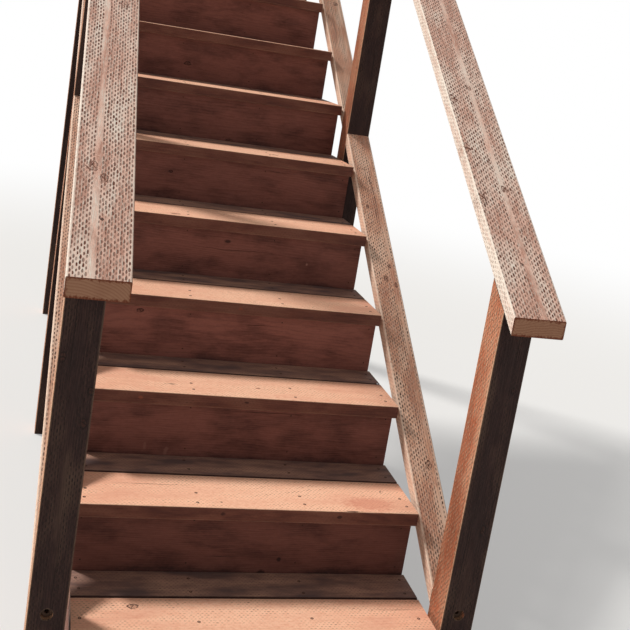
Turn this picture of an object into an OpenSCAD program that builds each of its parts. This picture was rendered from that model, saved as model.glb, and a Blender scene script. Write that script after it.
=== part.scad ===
// Straight flight of wooden deck stairs with a handrail on each side.
// Four cut stringers carry treads of two boards and closed risers. Three pairs
// of square posts stand on the ground outside the tread ends and carry the rails.
// The flight climbs towards +Y, X runs across it, and the ground is at Z = 0.

/* [Flight] */
// Number of treads below the deck
treads = 11; // [9:1:12]
// Height of one step
rise = 200; // [180:1:203]
// Depth of one step, from nosing to nosing
run = 280; // [260:1:300]
// Length of a tread across the flight
tread_length = 920; // [800:5:1100]
// Reach of a tread past the face of the riser below it
nosing = 30; // [15:1:38]
// Reach of a tread end past the outer face of the stringer
tread_overhang = 3; // [0:1:30]

/* [Boards] */
// Thickness of a tread board
tread_thick = 38; // [32:1:45]
// Width of the front board of a tread; the back board fills the rest
front_board_width = 184; // [140:1:190]
// Gap between the two boards of a tread
board_gap = 5; // [3:0.5:8]
// Gap between a tread and the riser behind it
riser_gap = 3; // [1:0.5:5]
// Thickness of a riser board
riser_thick = 19; // [15:1:25]
// Radius of the eased edges of the treads, rails and posts
edge_radius = 3; // [1:0.5:5]
// Radius of the eased edges of the risers
riser_edge = 1.5; // [0.5:0.5:3]

/* [Stringers] */
// Thickness of a stringer
stringer_thick = 38; // [35:1:45]
// Depth of the plank that a stringer is cut from
stringer_depth = 286; // [270:1:310]
// Distance between the centre lines of the two inner stringers
inner_stringer_spacing = 297; // [240:1:330]

/* [Posts] */
// Side of a square post
post_size = 89; // [80:1:100]
// Gap between a tread end and the inner face of a post
post_clearance = 14; // [4:1:20]
// Distance of the bottom post's front face behind the lowest nosing
post_setback = 52; // [0:1:80]
// Diameter of the counterbore for the bolt head in a bottom post
counterbore_diameter = 29; // [22:0.5:34]
// Depth of that counterbore
counterbore_depth = 14; // [8:1:25]
// Diameter of the bolt hole behind the counterbore
bolt_hole_diameter = 11; // [8:0.5:14]
// Depth of the bolt hole in the end of the lower rail
bolt_hole_reach = 20; // [10:1:24]

/* [Handrails] */
// Width of the cap rail
cap_width = 140; // [120:1:160]
// Thickness of the cap rail
cap_thick = 38; // [32:1:45]
// Height of the cap rail's top above the line of the nosings
cap_height = 865; // [850:5:965]
// Reach of the left cap rail past the inner face of its posts
cap_left_inward = 46; // [0:1:51]
// Reach of the right cap rail past the inner face of its posts
cap_right_inward = 0; // [0:1:51]
// Reach of the cap rail in front of the bottom post
cap_lower_reach = 58; // [20:1:120]
// Reach of the cap rail behind the top post
cap_upper_reach = 38; // [10:1:120]
// Thickness of the lower rail, which is as wide as the posts
lower_rail_thick = 38; // [32:1:45]
// Distance of the lower rail's top below the line of the nosings
lower_rail_drop = 40; // [0:1:50]

/* [Header and crosspiece] */
// Thickness of the header at the head of the flight
header_thick = 38; // [35:1:45]
// Depth of the header
header_depth = 286; // [235:1:300]
// Gap between the header and the lower rail that passes over it
header_clearance = 2; // [1:0.5:6]
// Thickness of the crosspiece below the stringers at the middle posts
crosspiece_thick = 38; // [35:1:45]
// Depth of the crosspiece
crosspiece_depth = 140; // [120:1:190]

/* [Hidden] */
TREAD_NAMES = [for (k = [1:treads]) str("tread_", k < 10 ? "0" : "", k)];
RISER_NAMES = [for (k = [1:treads]) str("riser_", k < 10 ? "0" : "", k)];

$fn = 48;
arc_steps = 3;

// Slope of the flight
pitch = atan2(rise, run);
cap_drop = cap_thick / cos(pitch);
lower_rail_height = lower_rail_thick / cos(pitch);

// Widths across the flight
post_inner = tread_length / 2 + post_clearance;
post_outer = post_inner + post_size;
stringer_outer = tread_length / 2 - tread_overhang;
riser_length = 2 * stringer_outer;

// Treads: the two boards fill the step up to the riser behind
tread_depth = run + nosing - riser_gap;
back_board_y = front_board_width + board_gap;
TREAD_BOARDS = [[0, front_board_width], [back_board_y, tread_depth - back_board_y]];

// Lengthwise places, before the whole is centred
function nosing_y(k) = (k - 1) * run;
function plumb_y(k) = nosing_y(k) + nosing + riser_thick;
function level_z(k) = k * rise - tread_thick;
function nosing_line(y) = rise + y * rise / run;

header_y = nosing_y(treads + 1) + nosing;
post_bottom_y = post_setback;
post_top_y = header_y + header_thick;
post_middle_y = (post_bottom_y + post_top_y) / 2;
crosspiece_y = post_middle_y + post_size;

// The plank's lower edge, which stays whole below the notches
function stringer_foot_line(y) =
    level_z(1) + (y - plumb_y(1)) * rise / run - stringer_depth / cos(pitch);

crosspiece_top = stringer_foot_line(crosspiece_y + crosspiece_thick);
lower_rail_under_header = nosing_line(header_y) - lower_rail_drop - lower_rail_height;
header_top = lower_rail_under_header - header_clearance;
bolt_z = nosing_line(post_bottom_y + post_size) - lower_rail_drop - lower_rail_height / 2;

// The whole stands centred on the origin
cap_left_outward = cap_width - cap_left_inward - post_size;
cap_right_outward = cap_width - cap_right_inward - post_size;
cap_start_y = post_bottom_y - cap_lower_reach;
cap_end_y = post_top_y + post_size + cap_upper_reach;
centre_x = (cap_right_outward - cap_left_outward) / 2;
centre_y = (cap_start_y + cap_end_y) / 2;

STAIN = "#8a5546";
RAIL_STAIN = "#8f7263";
POST_STAIN = "#7d5242";

module placed() {
    translate([-centre_x, -centre_y, 0]) children();
}

module mirrored_if(side) {
    if (side < 0) mirror([1, 0, 0]) children();
    else children();
}

// Section of a sawn board, centred, with its four edges eased
function eased_points(w, h, r) = [
    for (corner = [[1, 1, 0], [-1, 1, 90], [-1, -1, 180], [1, -1, 270]])
    for (i = [0:arc_steps])
    let (a = corner[2] + i * 90 / arc_steps)
    [corner[0] * (w / 2 - r) + r * cos(a), corner[1] * (h / 2 - r) + r * sin(a)]
];

module eased_section(w, h, r) {
    polygon(eased_points(w, h, r));
}

// Board that lies across the flight, from its lower front corner
module cross_board(length, depth, thick, r) {
    translate([-length / 2, depth / 2, thick / 2])
        rotate([90, 0, 90])
            linear_extrude(height = length) eased_section(depth, thick, r);
}

// Keeps what lies between two upright planes across the flight
module between_y(from, to, room = 6000) {
    intersection() {
        children();
        translate([-room / 2, from, -room]) cube([room, to - from, 2 * room]);
    }
}

// Board that runs up the slope, plumb-cut at both ends. Its top is at
// height above the line of the nosings.
module slope_board(from, to, width, thick, height) {
    spare = 2 * thick;
    length = (to - from) / cos(pitch) + 2 * spare;
    between_y(from, to)
        translate([0, from, nosing_line(from) + height])
            rotate([pitch, 0, 0])
                translate([0, length - spare, -thick / 2])
                    rotate([90, 0, 0])
                        linear_extrude(height = length) eased_section(width, thick, edge_radius);
}

// Cut stringer: level and plumb cuts for each step, a level foot on the ground,
// a plumb head against the header and a seat over the crosspiece
function stringer_outline() = concat(
    [[plumb_y(1), 0], [plumb_y(1), level_z(1)]],
    [for (k = [2:treads]) each [[plumb_y(k), level_z(k - 1)], [plumb_y(k), level_z(k)]]],
    [[header_y, level_z(treads)],
     [header_y, stringer_foot_line(header_y)],
     [crosspiece_y + crosspiece_thick, crosspiece_top],
     [crosspiece_y, crosspiece_top],
     [crosspiece_y, stringer_foot_line(crosspiece_y)],
     [plumb_y(1) + (stringer_depth / cos(pitch) - level_z(1)) * run / rise, 0]]
);

module stringer(x) {
    color(STAIN)
        placed()
            translate([x - stringer_thick / 2, 0, 0])
                rotate([90, 0, 90])
                    linear_extrude(height = stringer_thick) polygon(stringer_outline());
}

module tread(k) {
    color(STAIN)
        placed()
            for (board = TREAD_BOARDS)
                translate([0, nosing_y(k) + board[0], level_z(k)])
                    cross_board(tread_length, board[1], tread_thick, edge_radius);
}

module riser(k) {
    foot = k == 1 ? 0 : level_z(k - 1);
    color(STAIN)
        placed()
            translate([0, plumb_y(k) - riser_thick, foot])
                cross_board(riser_length, riser_thick, level_z(k) - foot, riser_edge);
}

module header() {
    color(STAIN)
        placed()
            translate([0, header_y, header_top - header_depth])
                cross_board(2 * post_outer, header_thick, header_depth, edge_radius);
}

module crosspiece() {
    color(STAIN)
        placed()
            translate([0, crosspiece_y, crosspiece_top - crosspiece_depth])
                cross_board(2 * post_outer, crosspiece_thick, crosspiece_depth, edge_radius);
}

// Square post from the ground up to the slanted underside of the cap rail
module post(side, y) {
    top = nosing_line(y + post_size) + cap_height;
    color(POST_STAIN)
        placed()
            mirrored_if(side)
                difference() {
                    translate([post_inner + post_size / 2, y + post_size / 2, 0])
                        linear_extrude(height = top)
                            eased_section(post_size, post_size, edge_radius);
                    translate([0, y, nosing_line(y) + cap_height - cap_drop])
                        rotate([pitch, 0, 0])
                            translate([0, -post_size, 0])
                                cube([2 * post_outer, 4 * post_size, 4 * post_size]);
                    if (y == post_bottom_y) bolt_hole(y);
                }
}

// Counterbored hole through a bottom post into the end of the lower rail
module bolt_hole(y) {
    translate([post_inner + post_size / 2, y, bolt_z])
        rotate([-90, 0, 0]) {
            translate([0, 0, -1]) cylinder(h = counterbore_depth + 1, d = counterbore_diameter);
            cylinder(h = post_size + bolt_hole_reach, d = bolt_hole_diameter);
        }
}

module lower_rail(side, from, to, bolted) {
    color(RAIL_STAIN)
        placed()
            mirrored_if(side)
                difference() {
                    translate([post_inner + post_size / 2, 0, 0])
                        slope_board(from, to, post_size, lower_rail_thick, -lower_rail_drop);
                    if (bolted) bolt_hole(post_bottom_y);
                }
}

module cap_rail(side, inward) {
    color(RAIL_STAIN)
        placed()
            mirrored_if(side)
                translate([post_inner - inward + cap_width / 2, 0, 0])
                    slope_board(cap_start_y, cap_end_y, cap_width, cap_thick, cap_height);
}

stringer(-stringer_outer + stringer_thick / 2);  // stringer_left
stringer(-inner_stringer_spacing / 2);  // stringer_inner_left
stringer(inner_stringer_spacing / 2);  // stringer_inner_right
stringer(stringer_outer - stringer_thick / 2);  // stringer_right
for (k = [1:treads]) {
    tread(k);
    riser(k);
}
header();
crosspiece();
post(-1, post_bottom_y);  // post_bottom_left
post(1, post_bottom_y);  // post_bottom_right
post(-1, post_middle_y);  // post_middle_left
post(1, post_middle_y);  // post_middle_right
post(-1, post_top_y);  // post_top_left
post(1, post_top_y);  // post_top_right
lower_rail(-1, post_bottom_y + post_size, post_middle_y, true);  // lower_rail_1_left
lower_rail(1, post_bottom_y + post_size, post_middle_y, true);  // lower_rail_1_right
lower_rail(-1, post_middle_y + post_size, post_top_y, false);  // lower_rail_2_left
lower_rail(1, post_middle_y + post_size, post_top_y, false);  // lower_rail_2_right
cap_rail(-1, cap_left_inward);  // cap_rail_left
cap_rail(1, cap_right_inward);  // cap_rail_right
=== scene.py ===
"""Looks of a flight of wooden deck stairs: stained incised timber, screws, floor, light and camera."""

import logging
import math
import random
from collections.abc import Callable, Sequence
from dataclasses import dataclass, field, replace
from enum import Enum
from functools import partial

import bpy
from mathutils import Euler, Matrix, Vector


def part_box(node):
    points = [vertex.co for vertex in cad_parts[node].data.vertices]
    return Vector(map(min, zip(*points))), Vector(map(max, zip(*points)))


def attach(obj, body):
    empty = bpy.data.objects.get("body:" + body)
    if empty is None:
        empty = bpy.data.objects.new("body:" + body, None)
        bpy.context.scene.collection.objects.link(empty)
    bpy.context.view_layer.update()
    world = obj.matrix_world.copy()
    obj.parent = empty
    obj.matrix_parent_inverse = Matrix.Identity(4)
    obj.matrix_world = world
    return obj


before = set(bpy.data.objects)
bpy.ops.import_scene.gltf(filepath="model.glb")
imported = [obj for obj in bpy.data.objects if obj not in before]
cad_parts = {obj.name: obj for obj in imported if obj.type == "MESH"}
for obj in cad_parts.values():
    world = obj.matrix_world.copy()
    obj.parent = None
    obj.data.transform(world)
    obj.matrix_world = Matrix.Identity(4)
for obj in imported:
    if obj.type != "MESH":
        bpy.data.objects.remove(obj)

LOG = logging.getLogger("deck_stairs")
MM = 0.001

# Timber and steps, in mm
PLANK_THICK = 38.0
RISER_THICK = 19.0
POST_SIDE = 89.0
BOARD_GAP = 5.0
FRONT_BOARD = 184.0

# Numbers that give boards a grain of their own, counted on from these
TREAD_SEED, RISER_SEED, POST_SEED, CAP_SEED, LOWER_SEED, STRINGER_SEED, CROSS_SEED = (
    100, 200, 300, 400, 410, 500, 510)

# Slope of the flight in radians, from two treads, and the ways that matter
LOWEST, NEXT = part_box("tread_01")[0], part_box("tread_02")[0]
PITCH = math.atan2(NEXT.z - LOWEST.z, NEXT.y - LOWEST.y)
UP_SLOPE = (0.0, math.cos(PITCH), math.sin(PITCH))
OFF_SLOPE = (0.0, -math.sin(PITCH), math.cos(PITCH))
UP = (0.0, 0.0, 1.0)
BACKWARD = (0.0, 1.0, 0.0)
# Way toward the sun: faces turned to it get paler colours, the others darker, as painted light and shade
SUNWARD = (-0.62, 0.15, 0.77)

Colour = tuple[float, float, float, float]
Socket = bpy.types.NodeSocket
Feed = Socket | float | tuple[float, ...] | Vector | Euler
Layer = tuple[Feed, Feed]
Adder = Callable[..., Socket]


def linear(code: str) -> Colour:
    """Turns an sRGB hex code into a linear colour.

    Args:
        code: colour such as "#8a5546".

    Returns:
        Linear red, green, blue and an alpha of 1.
    """
    values = [int(code[i : i + 2], 16) / 255 for i in (1, 3, 5)]
    curve = [c / 12.92 if c <= 0.04045 else ((c + 0.055) / 1.055) ** 2.4 for c in values]
    return (curve[0], curve[1], curve[2], 1.0)


@dataclass(frozen=True)
class Kind:
    """A type of node with its settings.

    Attributes:
        name: Blender's name of the type.
        settings: properties of the node.
        takes: sockets that a list of inputs goes to, or nothing for the node's own order.
        gives: output to hand back, or None for all of them.
    """

    name: str
    settings: dict[str, str] = field(default_factory=dict)
    takes: tuple[int | str, ...] = ()
    gives: int | str | None = 0


def add_node(tree: bpy.types.NodeTree, kind: Kind, inputs: Sequence[Feed] | dict[str, Feed] = (),
             out: str | None = None, **settings: bool) -> Socket | bpy.types.bpy_prop_collection:
    """Adds one node, sets it and feeds its inputs.

    Args:
        tree: tree that gets the node.
        kind: kind of the node.
        inputs: values or sockets, in order in a list or by socket in a dict.
        out: output to hand back in place of the kind's own.
        **settings: properties of this node alone.

    Returns:
        The chosen output socket, or all of them where the kind says so.
    """
    node = tree.nodes.new(kind.name)
    for name, value in (kind.settings | settings).items():
        setattr(node, name, value)
    pairs = inputs.items() if isinstance(inputs, dict) else zip(kind.takes or range(len(inputs)), inputs)
    for key, value in pairs:
        if isinstance(value, Socket):
            tree.links.new(value, node.inputs[key])
        else:
            node.inputs[key].default_value = value
    chosen = out or kind.gives
    return node.outputs if chosen is None else node.outputs[chosen]


def fresh_nodes(owner: bpy.types.Material | bpy.types.World) -> Adder:
    """Empties the node tree of a material or world.

    Args:
        owner: the material or world.

    Returns:
        add_node, bound to that tree.
    """
    owner.use_nodes = True
    owner.node_tree.nodes.clear()
    return partial(add_node, owner.node_tree)


# Kinds of node, named for what they do
ADD, MINUS, TIMES, TIMES_PLUS, SIZE, FLOOR, FRACTION, HIGHER, LOWER, ABOVE = (
    Kind("ShaderNodeMath", {"operation": word})
    for word in ("ADD", "SUBTRACT", "MULTIPLY", "MULTIPLY_ADD", "ABSOLUTE", "FLOOR", "FRACT", "MAXIMUM",
                 "MINIMUM", "GREATER_THAN"))
SHIFT, STRETCH, WRAP = (
    Kind("ShaderNodeVectorMath", {"operation": word}) for word in ("ADD", "MULTIPLY", "MODULO"))
DOT, LENGTH = (
    Kind("ShaderNodeVectorMath", {"operation": word}, gives="Value") for word in ("DOT_PRODUCT", "LENGTH"))
SCALE = Kind("ShaderNodeVectorMath", {"operation": "SCALE"}, (0, "Scale"))
RANGE = Kind("ShaderNodeMapRange")
SMOOTH = Kind("ShaderNodeMapRange", {"interpolation_type": "SMOOTHSTEP"})
MIX = Kind("ShaderNodeMix", takes=(0, 2, 3))
BLEND = Kind("ShaderNodeMix", {"data_type": "RGBA"}, (0, 6, 7), 2)
NOISE = Kind("ShaderNodeTexNoise", takes=("Vector", "Scale", "Detail", "Roughness"))
CHANCE = Kind("ShaderNodeTexWhiteNoise", {"noise_dimensions": "3D"})
COORDINATES = Kind("ShaderNodeTexCoord", gives="Object")
MAPPING = Kind("ShaderNodeMapping")
JOIN = Kind("ShaderNodeCombineXYZ")
SPLIT = Kind("ShaderNodeSeparateXYZ", gives=None)
BUMP = Kind("ShaderNodeBump", takes=("Strength", "Distance", "Height"))
SHADER = Kind("ShaderNodeBsdfPrincipled")
SURFACE = Kind("ShaderNodeOutputMaterial", gives=None)


@dataclass(frozen=True)
class Stain:
    """Colours of stained timber.

    Attributes:
        early: soft pale wood between the rings on faces that the sun reaches, paler there as painted light.
        late: hard dark line of each ring on those faces.
        kept: soft wood on sheltered faces, darker from stain that stayed and from painted shade.
        kept_late: ring lines on sheltered faces, darker in the same way.
        worn: wood where feet, hands and weather have taken the stain off; also painted light on edges.
        deep: stain pooled in slits, checks and round knots, and painted shade in tread gaps and bolt holes.
        knot: heart of a knot.
        end: end grain.
        dirt: dust and splashes, and painted shade at a riser's foot and on a tread's back board.
    """

    early: str
    late: str
    kept: str
    kept_late: str
    worn: str
    deep: str
    knot: str
    end: str
    dirt: str


@dataclass(frozen=True)
class Incising:
    """Slits that a treating plant's toothed rollers leave in a board, in mm.

    Attributes:
        pitch: distance from slit to slit along the grain.
        row: distance between rows across the grain.
        length: length of a slit.
        width: width of a slit, drawn wider than it is so that it shows.
        stagger: shift from row to row, as a share of the pitch.
        plain: width of the strip that the rollers miss.
        strip: place of that strip across the face, from its middle.
        depth: depth of a slit.
        strength: how dark the slits are, from 0 to 1.
        fibre: how pale the torn fibres beside the slits are, from 0 to 1.
        patchy: how much fainter the slits are in places, from 0 to 1.
    """

    pitch: float = 15.5
    row: float = 6.4
    length: float = 11.0
    width: float = 3.2
    stagger: float = 0.5
    plain: float = 15.0
    strip: float = 0.0
    depth: float = 1.6
    strength: float = 0.95
    fibre: float = 0.6
    patchy: float = 0.4


@dataclass(frozen=True)
class Knot:
    """Knot on the wide face of a board, in mm from the board's centre."""

    along: float
    across: float
    radius: float


@dataclass(frozen=True)
class Mark:
    """Stain, scuff, chip or stray knot that one board has of its own.

    Attributes:
        along: place along the grain in mm, from the board's centre.
        across: place across the face in mm, or up the narrow edge.
        long: half its length in mm.
        wide: half its width in mm.
        tone: name of the stain's colour that it takes.
        turn: angle from the grain in degrees.
        strength: how much it covers, from 0 to 1.
        on_edge: whether it lies on the narrow edge.
    """

    along: float
    across: float
    long: float
    wide: float
    tone: str
    turn: float = 0.0
    strength: float = 0.85
    on_edge: bool = False


class Lay(Enum):
    """How a board lies: its grain, the way across its wide face and the way out of it."""

    FLAT = ((1, 0, 0), (0, 1, 0), (0, 0, 1))
    ON_EDGE = ((1, 0, 0), (0, 0, 1), (0, -1, 0))
    UPRIGHT = ((0, 0, 1), (1, 0, 0), (0, 1, 0))
    SLOPE_FLAT = (UP_SLOPE, (-1, 0, 0), OFF_SLOPE)
    SLOPE_EDGE = (UP_SLOPE, OFF_SLOPE, (1, 0, 0))


@dataclass
class Board:
    """One CAD node seen as a board, with what its finish needs to know.

    Attributes:
        node: name of the CAD node.
        lay: how the board lies.
        width: width of the wide face in mm.
        thick: thickness in mm.
        seed: number that gives the board a grain of its own.
        front: width in mm of the front one of two boards in the node, or 0.
        knots: knots on the wide face.
        marks: what the board has of its own.
        recess: place along and across of a counterbore's axis in mm, or None.
        tone: brightness next to its neighbours, as boards take a stain differently.
    """

    node: str
    lay: Lay
    width: float
    thick: float
    seed: int
    front: float = 0.0
    knots: tuple[Knot, ...] = ()
    marks: tuple[Mark, ...] = ()
    recess: tuple[float, float] | None = None
    tone: float = 1.0

    def centre(self) -> Vector:
        """Middle of the node's box, in mm."""
        low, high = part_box(self.node)
        return (low + high) / 2 / MM


@dataclass(frozen=True)
class TimberFinish:
    """Sawn softwood, pressure treated through rows of slits and brushed with oil stain.

    The rings come from distance to the tree's heart, so faces, edges and ends agree. The stain
    sinks into slits, checks and knots, and sun and wear take it off tops, left sides and edges.
    Sunlit faces get paler colours and sheltered faces darker ones, partly weathering and partly
    painted light and shade.

    Attributes:
        name: name of the finish.
        stain: its colours.
        slits: incising, or None on boards that have none.
        bleach_and_light: how far sunlit faces are paled, by sun bleaching and painted light, from 0 to 1.
        foot_wear: how far feet have worn the top, from 0 to 1.
        edge_wear_and_light: width in mm of the pale line along the eased edges, worn, and brightest
        on sunlit faces as a painted highlight.
        side_wear_and_light: how far sunlit narrow sides are paled, by wear and painted light, from 0 to 1.
        aside_tone: brightness of sheltered sides beside the front, which stays darkest as painted shade.
        dirt_edge: height in mm of the dirt and painted shade along the board's lower edge, or 0.
        figure: how strongly rings and fibres show, from 0 to 1.
        blotch: length and width in mm of the patches of thick and thin stain.
        checks: how many drying cracks there are.
        ring: spacing of the rings in mm, coarser than real ones so that they show.
        fibres: length and width in mm of the streaks of fibre, also coarser than real ones.
        roughness: roughness of the plain face.
    """

    name: str
    stain: Stain
    slits: Incising | None = None
    bleach_and_light: float = 0.3
    foot_wear: float = 0.0
    edge_wear_and_light: float = 4.0
    side_wear_and_light: float = 0.0
    aside_tone: float = 1.0
    dirt_edge: float = 0.0
    figure: float = 0.6
    blotch: tuple[float, float] = (240.0, 60.0)
    checks: int = 3
    ring: float = 5.5
    fibres: tuple[float, float] = (55.0, 1.8)
    roughness: float = 0.66

    def dress(self, board: Board) -> None:
        """Gives a CAD node this finish.

        Args:
            board: the board to dress.
        """
        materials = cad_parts[board.node].data.materials
        materials.clear()
        materials.append(TimberDrawing(self, board).draw())


class TimberDrawing:
    """A timber finish as it is drawn on one board.

    Places are in mm from the board's centre, and masks run from 0 to 1. Noise stays between about
    0.3 and 0.7, so the ranges that it is put through start and end there.

    Attributes:
        finish: the finish.
        board: the board.
        material: material that is filled.
        add: adds a node to that material.
        stain: linear colours by name.
        luck: source of the board's own numbers.
        at: sockets by name, those of _place and the noise of fibres (streak), of patches of stain
            (cloud), of frayed borders (grit) and of wavy rims of knots (wobble).
    """

    # Length and width in mm of the noise of frayed borders, of wavy rims of knots and of bent rings
    GRIT = (13.0, 8.0)
    WOBBLE = (20.0, 14.0)
    BEND = (520, 160)
    # Place in mm of the tree's heart in its cell of wood, how far it wanders, and the cell's size
    HEART = (61.0, 67.0)
    HEART_WANDER = 44.0
    CELL = 260.0
    # How far off the back board of a tread takes its grain, and its knots and cracks, in mm
    BACK_JUMP = (731.0, 415.0, 287.0)
    BACK_SLIDE = 330.0
    # Knots: width as a share of length, and their waves and the swirl round them in radii
    KNOT_OVAL = 0.62
    KNOT_WAVES = 0.34
    KNOT_SWIRL = 3.6
    # Drying cracks in mm: half length, half width, bow, and length of the waves in them. They lie
    # within this share of the board from its middle
    CRACK_SPREAD = 0.42
    CRACK_REACH = (50, 200)
    CRACK_WIDE = 1.15
    CRACK_BOW = (8, 22)
    CRACK_WAVE = 110
    # Slits in mm: how far their rows bend, the border of the plain strip and the margin of a face
    ROW_BEND = 7.0
    STRIP_BORDER = 1.5
    MARGIN = (2.5, 5.0)
    # Where feet land on a tread, and where dirt and painted shade darken the gap, in mm from each middle
    FOOT_PATH = (80.0, 430.0)
    PACKED_AND_SHADED = (1.8, 4.6)
    # How far in mm an eased edge is at its palest, before it fades
    EDGE_START = 1.2
    # A counterbore in mm: radii between which its torn rim fades and its bolt hole ends, and the
    # depths between which the bared wood fades
    TORN_RIM = (19.0, 21.0)
    BOLT_HOLE = (5.2, 6.4)
    BARED = (20, 16)
    # Relief in mm of rings, fibres and torn fibres, and depth of cracks
    RING_RELIEF = 0.10
    FIBRE_RELIEF = 0.5
    TORN_RELIEF = 0.5
    CRACK_DEPTH = 1.5

    def __init__(self, finish: TimberFinish, board: Board) -> None:
        """Starts the material and finds where a point lies and what noise it gets.

        Args:
            finish: the finish.
            board: the board.
        """
        self.finish, self.board = finish, board
        self.material = bpy.data.materials.new(f"{finish.name} {board.node}")
        self.add = fresh_nodes(self.material)
        self.stain = {name: linear(code) for name, code in vars(finish.stain).items()}
        self.luck = random.Random(board.seed)
        self.at = self._place()
        noises = {"streak": (finish.fibres, 3.0, 0.6), "cloud": (finish.blotch, 4.0, 0.55),
                  "grit": (self.GRIT, 4.0, 0.7)}
        if board.knots:
            noises["wobble"] = (self.WOBBLE, 3.0, 0.6)
        for name, ((long, wide), detail, rough) in noises.items():
            place = self.add(STRETCH, [self.at["point"], (1 / long, 1 / wide, 1 / wide)])
            self.at[name] = self.add(NOISE, [place, 1.0, detail, rough])

    def draw(self) -> bpy.types.Material:
        """Lays out the whole material.

        Returns:
            The finished material.
        """
        add, at, stain, finish = self.add, self.at, self.stain, self.finish
        push, cores, splits = self._knots()
        rings = self._rings(push)
        cracks = add(HIGHER, [splits, self._checks()])
        cracks = add(TIMES, [cracks, add(RANGE, [at["side"], 0.0, 1.0, 1.0, 0.4])])
        slits, fibres, notches = self._slits()
        patch = add(SMOOTH, [at["cloud"], 0.42, 0.7, 0.0, 0.6])
        shade = self._woods(rings, patch)
        for mask, colour in (
                *self._foot_wear(), (cores, stain["knot"]), (cracks, stain["deep"]),
                (self._worn_and_lit_edge(), stain["worn"]), (fibres, stain["worn"]), (slits, stain["deep"]),
                (at["end"], self._ends(rings, patch, notches)), *self._dirt(), *self._packed_dirt(),
                *self._marks(), *self._recess()):
            shade = add(BLEND, [mask, shade, colour])
        shade = add(SCALE, [shade, self.board.tone])

        # Slits and cracks sunk, rings and fibres raised by weather
        grain = add(TIMES, [at["streak"], self.FIBRE_RELIEF])
        grain = add(TIMES_PLUS, [rings, self.RING_RELIEF, grain])
        grain = add(TIMES_PLUS, [fibres, self.TORN_RELIEF, grain])
        depth = add(TIMES, [slits, finish.slits.depth if finish.slits else 0.0])
        depth = add(TIMES_PLUS, [cracks, self.CRACK_DEPTH, depth])
        height = add(TIMES, [add(MINUS, [grain, depth]), MM])
        normal = add(BUMP, [1.0, 1.0, height])
        rough = add(RANGE, [at["streak"], 0.3, 0.7, finish.roughness - 0.08, finish.roughness + 0.14])
        add(SURFACE, [add(SHADER, {"Base Color": shade, "Roughness": rough, "Normal": normal,
                                   "Specular IOR Level": 0.2})])
        return self.material

    def _place(self) -> dict[str, Feed]:
        """Finds where a point lies on the board.

        Returns:
            Sockets by name: mm along the grain, across the face and out of it, half the board's
            width, mm to its long edge and to its face, a point for noise, the normal, and masks of
            ends, narrow sides and sunlit faces. On a pair of boards own_along slides on the back
            one, and there are the mm from the gap and masks of the back board and of tops.
        """
        add, board, axes = self.add, self.board, Matrix(self.board.lay.value)
        local = add(MAPPING, [add(COORDINATES), -(axes @ board.centre()), axes.to_euler("XYZ"),
                              (1 / MM,) * 3])
        along, across, out = add(SPLIT, [local])
        normal = add(COORDINATES, out="Normal")
        luck = random.Random(board.seed)
        shift = Vector([luck.uniform(-4000, 4000) for _ in range(3)])
        at = {"along": along, "own_along": along, "across": across, "out": out, "half": board.width / 2,
              "point": add(SHIFT, [local, shift]), "normal": normal}
        if board.front:
            behind = board.width - board.front - BOARD_GAP
            at["gap"] = add(MINUS, [across, board.front - board.width / 2 + BOARD_GAP / 2])
            at["back"] = back = add(ABOVE, [at["gap"], 0.0])
            middles = (board.front - board.width) / 2, (board.width - behind) / 2
            middle = add(RANGE, [back, 0.0, 1.0, *middles])
            at["half"] = add(RANGE, [back, 0.0, 1.0, board.front / 2, behind / 2])
            at["across"] = add(MINUS, [across, middle])
            at["own_along"] = add(TIMES_PLUS, [back, self.BACK_SLIDE, along])
            at["point"] = add(SHIFT, [at["point"], add(SCALE, [self.BACK_JUMP, back])])
            at["top"] = add(RANGE, [add(DOT, [normal, UP]), 0.3, 0.75])
        at["to_edge"] = add(MINUS, [at["half"], add(SIZE, [at["across"]])])
        at["to_face"] = add(MINUS, [board.thick / 2, add(SIZE, [out])])
        end, side, sun = (add(DOT, [normal, way]) for way in (axes[0], axes[1], SUNWARD))
        at["end"] = add(RANGE, [add(SIZE, [end]), 0.45, 0.6])
        at["side"] = add(ABOVE, [add(SIZE, [side]), 0.72])
        # Sunlit faces, painted paler as light, the others darker as painted shade
        at["sun"] = add(RANGE, [sun, 0.2, 0.5])
        return at

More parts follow.
